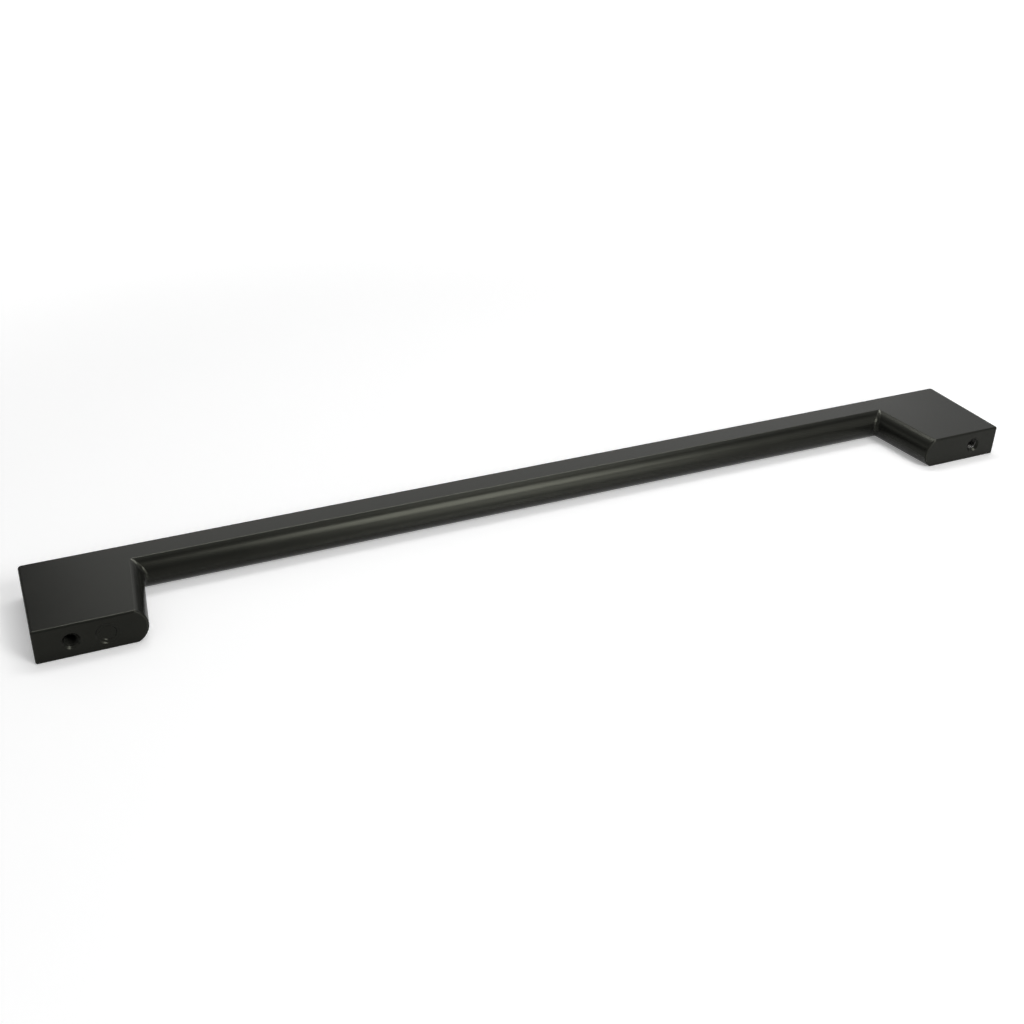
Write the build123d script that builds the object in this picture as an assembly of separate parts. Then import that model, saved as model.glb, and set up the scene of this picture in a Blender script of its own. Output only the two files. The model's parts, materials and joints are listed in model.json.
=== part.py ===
from build123d import *
import math
import os

# A cast pull for a cabinet door or a drawer front: a straight bar between two block feet.
# X runs along the bar, Y points into the door and Z is up.
# The origin is midway between the two screw holes, on the door's face.

# Driving dimensions, in millimetres and degrees.
hole_spacing = 320.0
hole_to_end = 10.3
projection = 36.5
thickness = 11.0
bar_flat = 8.5
foot_flat = 28.4
foot_lean = 7.2
end_lean = 1.2
crown_height = 3.4

# Soft edges of the casting.
crease_radius = 1.5
corner_radius = 1.3
edge_radius = 0.65

# Tapped holes for the screws that come through the door.
thread_diameter = 4.0
thread_depth = 14.0
drill_point_angle = 118.0
countersink_diameter = 5.3
countersink_angle = 90.0

# Shallow round mark that a stepped ejector pin of the mould left on one foot.
# The pin stood a little askew, so the mark is deepest beside the hole and runs out on the other side.
pin_mark_diameter = 6.8
pin_tip_diameter = 4.9
pin_mark_to_end = 20.4
pin_step = 0.25
pin_mark_tilt = 3.5

# Worked out from the above.
half_length = hole_spacing / 2 + hole_to_end
half_thickness = thickness / 2
foot_inner_x = half_length - foot_flat
bar_inner_y = bar_flat - projection


def foot_side_x(y):
    """X of the flat's edge on the leaning inner side of the foot at +X, at depth y."""
    return foot_inner_x + y * math.tan(math.radians(foot_lean))


def crowned_strip(start, end, depth):
    """A strip with flat top and bottom from start to end, crowned on one long side and depth wide behind it."""
    along = Vector(*end) - Vector(*start)
    bulge = along.cross(Vector(0, 0, 1))
    crown = ThreePointArc((0, -half_thickness), (crown_height, 0), (0, half_thickness))
    back = Polyline(
        (0, half_thickness),
        (-depth, half_thickness),
        (-depth, -half_thickness),
        (0, -half_thickness),
    )
    section = Plane(origin=start, x_dir=bulge, z_dir=along) * make_face(crown + back)
    return extrude(section, along.length)


def foot():
    """The block foot at +X, with its crowned side run on past the door's face and into the bar."""
    outer_end_x = half_length - projection * math.tan(math.radians(end_lean))
    plan = Polyline(
        (half_length, 0),
        (foot_inner_x, 0),
        (foot_side_x(-projection), -projection),
        (outer_end_x, -projection),
        close=True,
    )
    block = extrude(make_face(plan), half_thickness, both=True)
    past_door = crown_height
    inside_bar = bar_inner_y - bar_flat / 2
    side = crowned_strip(
        (foot_side_x(past_door), past_door),
        (foot_side_x(inside_bar), inside_bar),
        foot_flat / 2,
    )
    return block + side


def blank():
    """Bar and feet as one solid with sharp edges, cut off flush at the door's face."""
    bar_end = half_length - foot_flat / 2
    bar = crowned_strip((bar_end, bar_inner_y), (-bar_end, bar_inner_y), bar_flat)
    whole = bar + foot() + mirror(foot(), about=Plane.YZ)
    return split(whole, bisect_by=Plane.XZ, keep=Keep.TOP).clean()


def soften(body):
    """Round the creases where the crowned sides meet, the outer corners, and the rims of the flat faces."""
    creases = body.edges().filter_by(GeomType.LINE, reverse=True)
    creases = creases.filter_by(lambda edge: edge.center().Y < bar_inner_y / 2)
    body = fillet(creases, crease_radius)
    corners = body.edges().filter_by(Axis.Z).group_by(Axis.Y)[0]
    body = fillet(corners, corner_radius)
    flats = body.faces().filter_by(Plane.XY)
    door_faces = body.faces().filter_by(Plane.XZ).group_by(Axis.Y)[-1]
    rims = {edge for face in flats + door_faces for edge in face.edges()}
    return fillet(rims, edge_radius)


def screw_hole(x):
    """The space of one hole: countersunk mouth, tapped length and drill point, along Y."""
    mouth_radius = countersink_diameter / 2
    bore_radius = thread_diameter / 2
    mouth_depth = (mouth_radius - bore_radius) / math.tan(math.radians(countersink_angle / 2))
    tip_depth = thread_depth + bore_radius / math.tan(math.radians(drill_point_angle / 2))
    half_section = Polyline(
        (x, 0),
        (x + mouth_radius, 0),
        (x + bore_radius, -mouth_depth),
        (x + bore_radius, -thread_depth),
        (x, -tip_depth),
        close=True,
    )
    return revolve(make_face(half_section), Axis((x, 0, 0), (0, 1, 0)))


def pin_mark():
    """The metal that the end of the ejector pin pressed away: two steps with sloping sides, tilted."""
    rim_radius = pin_mark_diameter / 2
    tip_radius = pin_tip_diameter / 2
    half_section = Polyline(
        (0, pin_step),
        (rim_radius + pin_step, pin_step),
        (rim_radius - pin_step, -pin_step),
        (tip_radius, -pin_step),
        (tip_radius - pin_step, -2 * pin_step),
        (0, -2 * pin_step),
        close=True,
    )
    end_of_pin = revolve(make_face(half_section), Axis.Y)
    return Location((half_length - pin_mark_to_end, 0, 0), (0, 0, -pin_mark_tilt)) * end_of_pin


def handle():
    """The finished casting."""
    body = soften(blank())
    for side in (-1, 1):
        body -= screw_hole(side * hole_spacing / 2)
    return body - pin_mark()


os.makedirs("parts", exist_ok=True)
export_step(handle(), "parts/handle.step")
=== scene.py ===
import json
import math

import bmesh
import bpy
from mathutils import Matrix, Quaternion, Vector


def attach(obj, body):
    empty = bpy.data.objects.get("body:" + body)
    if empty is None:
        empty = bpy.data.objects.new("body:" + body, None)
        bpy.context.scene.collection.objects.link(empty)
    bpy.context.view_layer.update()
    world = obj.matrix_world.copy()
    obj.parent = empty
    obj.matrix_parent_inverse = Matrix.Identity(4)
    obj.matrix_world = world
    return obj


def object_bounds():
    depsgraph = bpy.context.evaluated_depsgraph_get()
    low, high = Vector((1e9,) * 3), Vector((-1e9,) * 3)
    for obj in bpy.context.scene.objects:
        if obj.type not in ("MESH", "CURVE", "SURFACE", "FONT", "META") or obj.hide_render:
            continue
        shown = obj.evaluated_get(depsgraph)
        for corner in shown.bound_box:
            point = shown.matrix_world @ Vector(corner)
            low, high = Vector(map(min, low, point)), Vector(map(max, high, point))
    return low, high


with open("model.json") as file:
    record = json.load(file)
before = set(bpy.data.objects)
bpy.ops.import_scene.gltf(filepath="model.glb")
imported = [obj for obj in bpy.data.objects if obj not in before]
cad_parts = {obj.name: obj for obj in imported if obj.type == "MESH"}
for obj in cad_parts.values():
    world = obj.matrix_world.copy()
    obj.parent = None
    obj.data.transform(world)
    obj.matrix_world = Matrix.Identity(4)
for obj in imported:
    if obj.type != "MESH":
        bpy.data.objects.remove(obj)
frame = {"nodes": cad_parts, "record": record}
cad_low, cad_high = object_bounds()

# The frame's own names and sizes, in metres.
handle = frame["nodes"]["handle"]
mounts = {mount["name"]: mount for mount in frame["record"]["mounts"]}
millimetre = 0.001
floor_height = cad_low.z

# Camera, fitted to the photograph. The part lies with its mounting faces towards it.
camera_place = Vector((0.17483, 0.31987, 0.22095))
camera_target = Vector((0.01689, -0.01884, 0.0))
camera_roll = math.radians(1.618)
camera_lens = 46.361
camera_sensor = 36.0
camera_near = 0.01
camera_far = 50.0

# Metric thread in the two screw holes. Its ridge bites a little into the wall, so that no gap shows.
thread_pitch = 0.7 * millimetre
thread_minor_radius = 1.62 * millimetre
thread_crest_width = thread_pitch / 4
thread_root_width = thread_pitch * 7 / 8
thread_bite = 0.02 * millimetre
steps_per_turn = 48

# The strips along the ridge are counted from its root on the mouth's side.
# The worn one is the half of that flank which lies by the crest.
worn_strip = 1

# Colours, in linear light.
paint_dark = (0.0072, 0.0074, 0.0065, 1.0)
paint_light = (0.0090, 0.0092, 0.0081, 1.0)
reflection_tint = (0.98, 1.0, 0.82, 1.0)
zinc_dull = (0.012, 0.012, 0.0114, 1.0)
zinc_bright = (0.12, 0.12, 0.114, 1.0)
floor_colour = (0.92, 0.92, 0.92, 1.0)
white = (1.0, 1.0, 1.0, 1.0)
card_colour = (0.02, 0.02, 0.02, 1.0)

# Gloss: how strongly each paint reflects, its least and greatest roughness, and the zinc's one roughness.
paint_reflection = 0.13
paint_roughness = (0.24, 0.27)
thread_reflection = 0.06
thread_roughness = (0.5, 0.7)
zinc_roughness = 0.35

# Unevenness: orange peel and clouds in the paint, and dull patches on the zinc.
# A span is the stretch of the noise over which the look changes.
peel_size = 0.6 * millimetre
peel_height = 0.002 * millimetre
peel_detail = 2.0
cloud_size = 14 * millimetre
cloud_detail = 4.0
cloud_span = (0.3, 0.7)
patch_size = 0.8 * millimetre
patch_detail = 2.0
patch_span = (0.35, 0.65)

# Strengths of the white surroundings: 1 is white. The floor's glow is given near the part and far from it.
backdrop_strength = 1.0
fill_strength = 0.37
floor_glow = (0.23, 0.66)
glow_reach = (0.2, 0.6)

# Floor: its size, and its polish, which shows only in reflections.
floor_size = 8.0
floor_refraction = 1.95
floor_roughness = 0.15

# Sides of the round dark band.
horizon_sides = 96


def new_material(name):
    """A node material that is empty but for its output; returns it with its nodes, links and output."""
    material = bpy.data.materials.new(name)
    material.use_nodes = True
    nodes = material.node_tree.nodes
    nodes.clear()
    output = nodes.new("ShaderNodeOutputMaterial")
    return material, nodes, material.node_tree.links, output


def noise(nodes, links, size, detail):
    """A socket with noise of about that size, fixed to the piece."""
    place = nodes.new("ShaderNodeTexCoord")
    texture = nodes.new("ShaderNodeTexNoise")
    texture.inputs["Scale"].default_value = 1 / size
    texture.inputs["Detail"].default_value = detail
    links.new(place.outputs["Object"], texture.inputs["Vector"])
    return texture.outputs["Fac"]


def two_tone(nodes, links, value, span, dark, light):
    """A socket with a colour that goes from dark to light as the value crosses the span."""
    ramp = nodes.new("ShaderNodeValToRGB")
    first, last = ramp.color_ramp.elements
    first.position = span[0]
    first.color = dark
    last.position = span[1]
    last.color = light
    links.new(value, ramp.inputs["Fac"])
    return ramp.outputs["Color"]


def mapped(nodes, links, value, span, results, interpolation="LINEAR"):
    """A socket that goes from the first result to the second as the value crosses the span."""
    scale = nodes.new("ShaderNodeMapRange")
    scale.interpolation_type = interpolation
    scale.inputs["From Min"].default_value = span[0]
    scale.inputs["From Max"].default_value = span[1]
    scale.inputs["To Min"].default_value = results[0]
    scale.inputs["To Max"].default_value = results[1]
    links.new(value, scale.inputs["Value"])
    return scale.outputs["Result"]


def combined(nodes, links, operation, one, other):
    """A socket with the result of an operation on two others."""
    math_node = nodes.new("ShaderNodeMath")
    math_node.operation = operation
    links.new(one, math_node.inputs[0])
    links.new(other, math_node.inputs[1])
    return math_node.outputs["Value"]


def black_paint(name, reflection, roughness):
    """Black paint with a faint orange peel and a slightly uneven gloss and shade."""
    material, nodes, links, output = new_material(name)
    shader = nodes.new("ShaderNodeBsdfPrincipled")
    shader.inputs["Specular IOR Level"].default_value = reflection
    shader.inputs["Specular Tint"].default_value = reflection_tint
    links.new(shader.outputs["BSDF"], output.inputs["Surface"])
    peel = noise(nodes, links, peel_size, peel_detail)
    bump = nodes.new("ShaderNodeBump")
    bump.inputs["Strength"].default_value = 1.0
    bump.inputs["Distance"].default_value = peel_height
    links.new(peel, bump.inputs["Height"])
    links.new(bump.outputs["Normal"], shader.inputs["Normal"])
    cloud = noise(nodes, links, cloud_size, cloud_detail)
    gloss = mapped(nodes, links, cloud, cloud_span, roughness)
    links.new(gloss, shader.inputs["Roughness"])
    shade = two_tone(nodes, links, cloud, cloud_span, paint_dark, paint_light)
    links.new(shade, shader.inputs["Base Color"])
    return material


def bare_zinc():
    """Bare zinc on the flanks of a thread, dulled in patches."""
    material, nodes, links, output = new_material("bare_zinc")
    shader = nodes.new("ShaderNodeBsdfPrincipled")
    shader.inputs["Metallic"].default_value = 1.0
    shader.inputs["Roughness"].default_value = zinc_roughness
    links.new(shader.outputs["BSDF"], output.inputs["Surface"])
    patches = noise(nodes, links, patch_size, patch_detail)
    shade = two_tone(nodes, links, patches, patch_span, zinc_dull, zinc_bright)
    links.new(shade, shader.inputs["Base Color"])
    return material


def ridge_outline(crest_radius, root_radius):
    """Corners of the ridge from the mouth's side, each with its place along the hole and its radius."""
    return (
        (-thread_root_width / 2, root_radius),
        (-(thread_root_width + thread_crest_width) / 4, (root_radius + crest_radius) / 2),
        (-thread_crest_width / 2, crest_radius),
        (thread_crest_width / 2, crest_radius),
        (thread_root_width / 2, root_radius),
    )


def thread_ridge(name, hole, paint, flank_material):
    """The ridge of an internal thread, wound along a screw hole and run out in its countersunk mouth.

    It is painted, but for the worn strip, which has the flank's own material.
    """
    axis_x, _, axis_z = hole["pos_m"]
    major_radius = hole["dims"]["r_mm"] * millimetre
    length = hole["dims"]["length_mm"] * millimetre
    mouth_depth = -mounts["screw_holes"]["pos_m"][1]
    turns = length / thread_pitch
    mesh = bmesh.new()
    rings = []
    for step in range(int(turns * steps_per_turn) + 1):
        turn = step / steps_per_turn
        angle = 2 * math.pi * turn
        depth = mouth_depth + thread_pitch * turn
        # The cone of the countersink, at 45 degrees to the hole, cuts the crest where the ridge begins.
        cone_radius = major_radius + mouth_depth - depth
        crest_radius = max(thread_minor_radius, cone_radius)
        ring = []
        for along, radius in ridge_outline(crest_radius, major_radius + thread_bite):
            point = (
                axis_x + radius * math.cos(angle),
                -depth - along,
                axis_z + radius * math.sin(angle),
            )
            ring.append(mesh.verts.new(point))
        rings.append(ring)
    for before, after in zip(rings, rings[1:]):
        for corner in range(len(before)):
            beside = (corner + 1) % len(before)
            strip = mesh.faces.new((before[corner], before[beside], after[beside], after[corner]))
            strip.material_index = 1 if corner == worn_strip else 0
    mesh.faces.new(rings[0])
    mesh.faces.new(rings[-1])
    bmesh.ops.recalc_face_normals(mesh, faces=mesh.faces)
    data = bpy.data.meshes.new(name)
    mesh.to_mesh(data)
    mesh.free()
    data.materials.append(paint)
    data.materials.append(flank_material)
    piece = bpy.data.objects.new(name, data)
    bpy.context.scene.collection.objects.link(piece)
    return piece


def seen_directly(nodes, links):
    """A socket that is 1 for what the camera sees, also in a reflection or through glass, and 0 otherwise."""
    path = nodes.new("ShaderNodeLightPath")
    seen = path.outputs["Is Camera Ray"]
    for ray in ("Is Glossy Ray", "Is Transmission Ray"):
        seen = combined(nodes, links, "MAXIMUM", seen, path.outputs[ray])
    return seen


def floor_surface(nodes, links):
    """The floor's shader: matt white, with a polish that shows only in reflections."""
    matt = nodes.new("ShaderNodeBsdfDiffuse")
    matt.inputs["Color"].default_value = floor_colour
    polish = nodes.new("ShaderNodeBsdfGlossy")
    polish.inputs["Roughness"].default_value = floor_roughness
    slant = nodes.new("ShaderNodeFresnel")
    slant.inputs["IOR"].default_value = floor_refraction
    path = nodes.new("ShaderNodeLightPath")
    share = combined(nodes, links, "MULTIPLY", slant.outputs["Fac"], path.outputs["Is Glossy Ray"])
    surface = nodes.new("ShaderNodeMixShader")
    links.new(share, surface.inputs["Fac"])
    links.new(matt.outputs["BSDF"], surface.inputs[1])
    links.new(polish.outputs["BSDF"], surface.inputs[2])
    return surface.outputs["Shader"]


def floor_light(nodes, links):
    """The floor's glow, stronger far from the part. The camera and reflections show it; it lights nothing."""
    place = nodes.new("ShaderNodeTexCoord")
    away = nodes.new("ShaderNodeVectorMath")
    away.operation = "LENGTH"
    links.new(place.outputs["Object"], away.inputs[0])
    rise = mapped(nodes, links, away.outputs["Value"], glow_reach, floor_glow, "SMOOTHSTEP")
    strength = combined(nodes, links, "MULTIPLY", rise, seen_directly(nodes, links))
    glow = nodes.new("ShaderNodeEmission")
    links.new(strength, glow.inputs["Strength"])
    return glow.outputs["Emission"]


def white_floor():
    """A wide white floor that keeps the object's soft shadow and glows where the lamps reach less."""
    bpy.ops.mesh.primitive_plane_add(size=floor_size, location=(0, 0, floor_height))
    floor = bpy.context.object
    floor.name = "floor"
    material, nodes, links, output = new_material("white_floor")
    both = nodes.new("ShaderNodeAddShader")
    links.new(floor_surface(nodes, links), both.inputs[0])
    links.new(floor_light(nodes, links), both.inputs[1])
    links.new(both.outputs["Shader"], output.inputs["Surface"])
    floor.data.materials.append(material)


def white_surroundings():
    """A white background that the paint reflects too, and a dimmer fill light from all round."""
    world = bpy.data.worlds.new("studio")
    bpy.context.scene.world = world
    world.use_nodes = True
    nodes = world.node_tree.nodes
    links = world.node_tree.links
    nodes.clear()
    output = nodes.new("ShaderNodeOutputWorld")
    fill = nodes.new("ShaderNodeBackground")
    fill.inputs["Color"].default_value = white
    fill.inputs["Strength"].default_value = fill_strength
    backdrop = nodes.new("ShaderNodeBackground")
    backdrop.inputs["Color"].default_value = white
    backdrop.inputs["Strength"].default_value = backdrop_strength
    mix = nodes.new("ShaderNodeMixShader")
    links.new(seen_directly(nodes, links), mix.inputs["Fac"])
    links.new(fill.outputs["Background"], mix.inputs[1])
    links.new(backdrop.outputs["Background"], mix.inputs[2])
    links.new(mix.outputs["Shader"], output.inputs["Surface"])


def black_felt():
    """Black felt of the dark cards."""
    material, nodes, links, output = new_material("black_felt")
    matt = nodes.new("ShaderNodeBsdfDiffuse")
    matt.inputs["Color"].default_value = card_colour
    links.new(matt.outputs["BSDF"], output.inputs["Surface"])
    return material


def facing(place, target):
    """The turn of a lamp, card or camera that looks from place to target."""
    return (Vector(target) - Vector(place)).to_track_quat("-Z", "Y")


def only_in_reflections(item):
    """Hide a dark card or band from everything but reflections."""
    item.visible_camera = False
    item.visible_diffuse = False
    item.visible_shadow = False


def black_card(name, place, target, width, height, material):
    """A dark card that the paint reflects."""
    bpy.ops.mesh.primitive_plane_add(size=1.0)
    card = bpy.context.object
    card.name = name
    card.location = place
    card.scale = (width, height, 1.0)
    card.rotation_euler = facing(place, target).to_euler()
    card.data.materials.append(material)
    only_in_reflections(card)


def dark_horizon(radius, front_height, back_height, material):
    """A low dark band all round, higher at the back, which the paint reflects between floor and backdrop."""
    bpy.ops.mesh.primitive_cylinder_add(
        vertices=horizon_sides,
        radius=radius,
        depth=2 * front_height,
        end_fill_type="NOTHING",
        location=(0, 0, floor_height),
    )
    band = bpy.context.object
    band.name = "dark_horizon"
    for corner in band.data.vertices:
        towards_back = (1 - corner.co.y / radius) / 2
        top = front_height + (back_height - front_height) * towards_back
        corner.co.z = top if corner.co.z > 0 else 0.0
    band.data.materials.append(material)
    only_in_reflections(band)


def softbox(name, place, target, width, height, power, reflected_only=True):
    """A soft rectangular lamp at place that faces target; with reflected_only it lights nothing matt."""
    light = bpy.data.lights.new(name, "AREA")
    light.shape = "RECTANGLE"
    light.size = width
    light.size_y = height
    light.energy = power
    lamp = bpy.data.objects.new(name, light)
    lamp.location = place
    lamp.rotation_euler = facing(place, target).to_euler()
    lamp.visible_camera = False
    lamp.visible_diffuse = not reflected_only
    bpy.context.scene.collection.objects.link(lamp)


def photo_camera():
    """The camera at the photograph's place."""
    data = bpy.data.cameras.new("camera")
    data.sensor_width = camera_sensor
    data.lens = camera_lens
    data.clip_start = camera_near
    data.clip_end = camera_far
    camera = bpy.data.objects.new("camera", data)
    camera.location = camera_place
    camera.rotation_mode = "QUATERNION"
    camera.rotation_quaternion = facing(camera_place, camera_target) @ Quaternion((0, 0, 1), camera_roll)
    bpy.context.scene.collection.objects.link(camera)
    bpy.context.scene.camera = camera


paint = black_paint("satin_black_paint", paint_reflection, paint_roughness)
handle.data.materials.clear()
handle.data.materials.append(paint)

# Paint lies matt in both threads; in the left one it is worn off the flanks towards the mouth, by the crest.
thread_paint = black_paint("matt_black_paint", thread_reflection, thread_roughness)
flank_materials = {"left": bare_zinc(), "right": thread_paint}
for side, flank_material in flank_materials.items():
    hole = mounts["screw_hole_" + side]
    ridge = thread_ridge("thread_" + side, hole, thread_paint, flank_material)
    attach(ridge, "root")

white_floor()
white_surroundings()

# Dark cards and a dark band, for the dark stretches between the paint's reflections. All are in metres.
felt = black_felt()
black_card(
    "card_overhead_left",
    place=(0.28, 0.17, 0.5),
    target=(0.28, -0.03, 0.0),
    width=0.56,
    height=0.21,
    material=felt,
)
black_card(
    "card_overhead_right",
    place=(-0.56, 0.17, 0.5),
    target=(-0.56, -0.03, 0.0),
    width=0.4,
    height=0.21,
    material=felt,
)
black_card(
    "card_behind",
    place=(0.69, -1.2, 0.6),
    target=(0.19, 0.0, 0.0),
    width=1.2,
    height=1.0,
    material=felt,
)
black_card(
    "card_camera",
    place=(0.14, 0.9, 0.42),
    target=(0.1, 0.0, 0.0),
    width=0.62,
    height=0.8,
    material=felt,
)
dark_horizon(radius=0.9, front_height=0.09, back_height=0.26, material=felt)

# Lamps, in metres and watts. Two light the part and the floor, and the others show only in reflections.
softbox(
    "front_softbox",
    place=(-0.25, 0.61, 0.52),
    target=(0.03, -0.027, 0.0),
    width=0.27,
    height=0.44,
    power=3.3,
    reflected_only=False,
)
softbox(
    "front_strip",
    place=(-0.27, 0.61, 0.52),
    target=(0.03, -0.027, 0.0),
    width=0.36,
    height=0.44,
    power=3.4,
)
softbox(
    "front_low_softbox",
    place=(-0.29, 0.7, 0.12),
    target=(0.0, -0.03, 0.12),
    width=0.3,
    height=0.25,
    power=1.4,
)
softbox(
    "top_strip",
    place=(-0.32, 0.15, 0.8),
    target=(0.0, -0.03, 0.0),
    width=0.28,
    height=0.3,
    power=0.84,
)
softbox(
    "rear_softbox",
    place=(-0.2, -0.28, 0.9),
    target=(-0.1, 0.0, 0.0),
    width=0.8,
    height=0.2,
    power=2.8,
    reflected_only=False,
)
softbox(
    "rear_strip",
    place=(-0.2, -0.34, 0.85),
    target=(-0.1, 0.0, 0.0),
    width=0.8,
    height=0.12,
    power=8.5,
)
softbox(
    "rear_glow",
    place=(-0.47, -1.2, 0.8),
    target=(0.0, 0.0, 0.0),
    width=1.35,
    height=0.9,
    power=2.55,
)
softbox(
    "side_glow",
    place=(0.55, -0.6, 0.2),
    target=(-0.1, 0.0, 0.0),
    width=0.6,
    height=0.3,
    power=0.3,
)
photo_camera()
bpy.context.scene.view_settings.view_transform = "Standard"
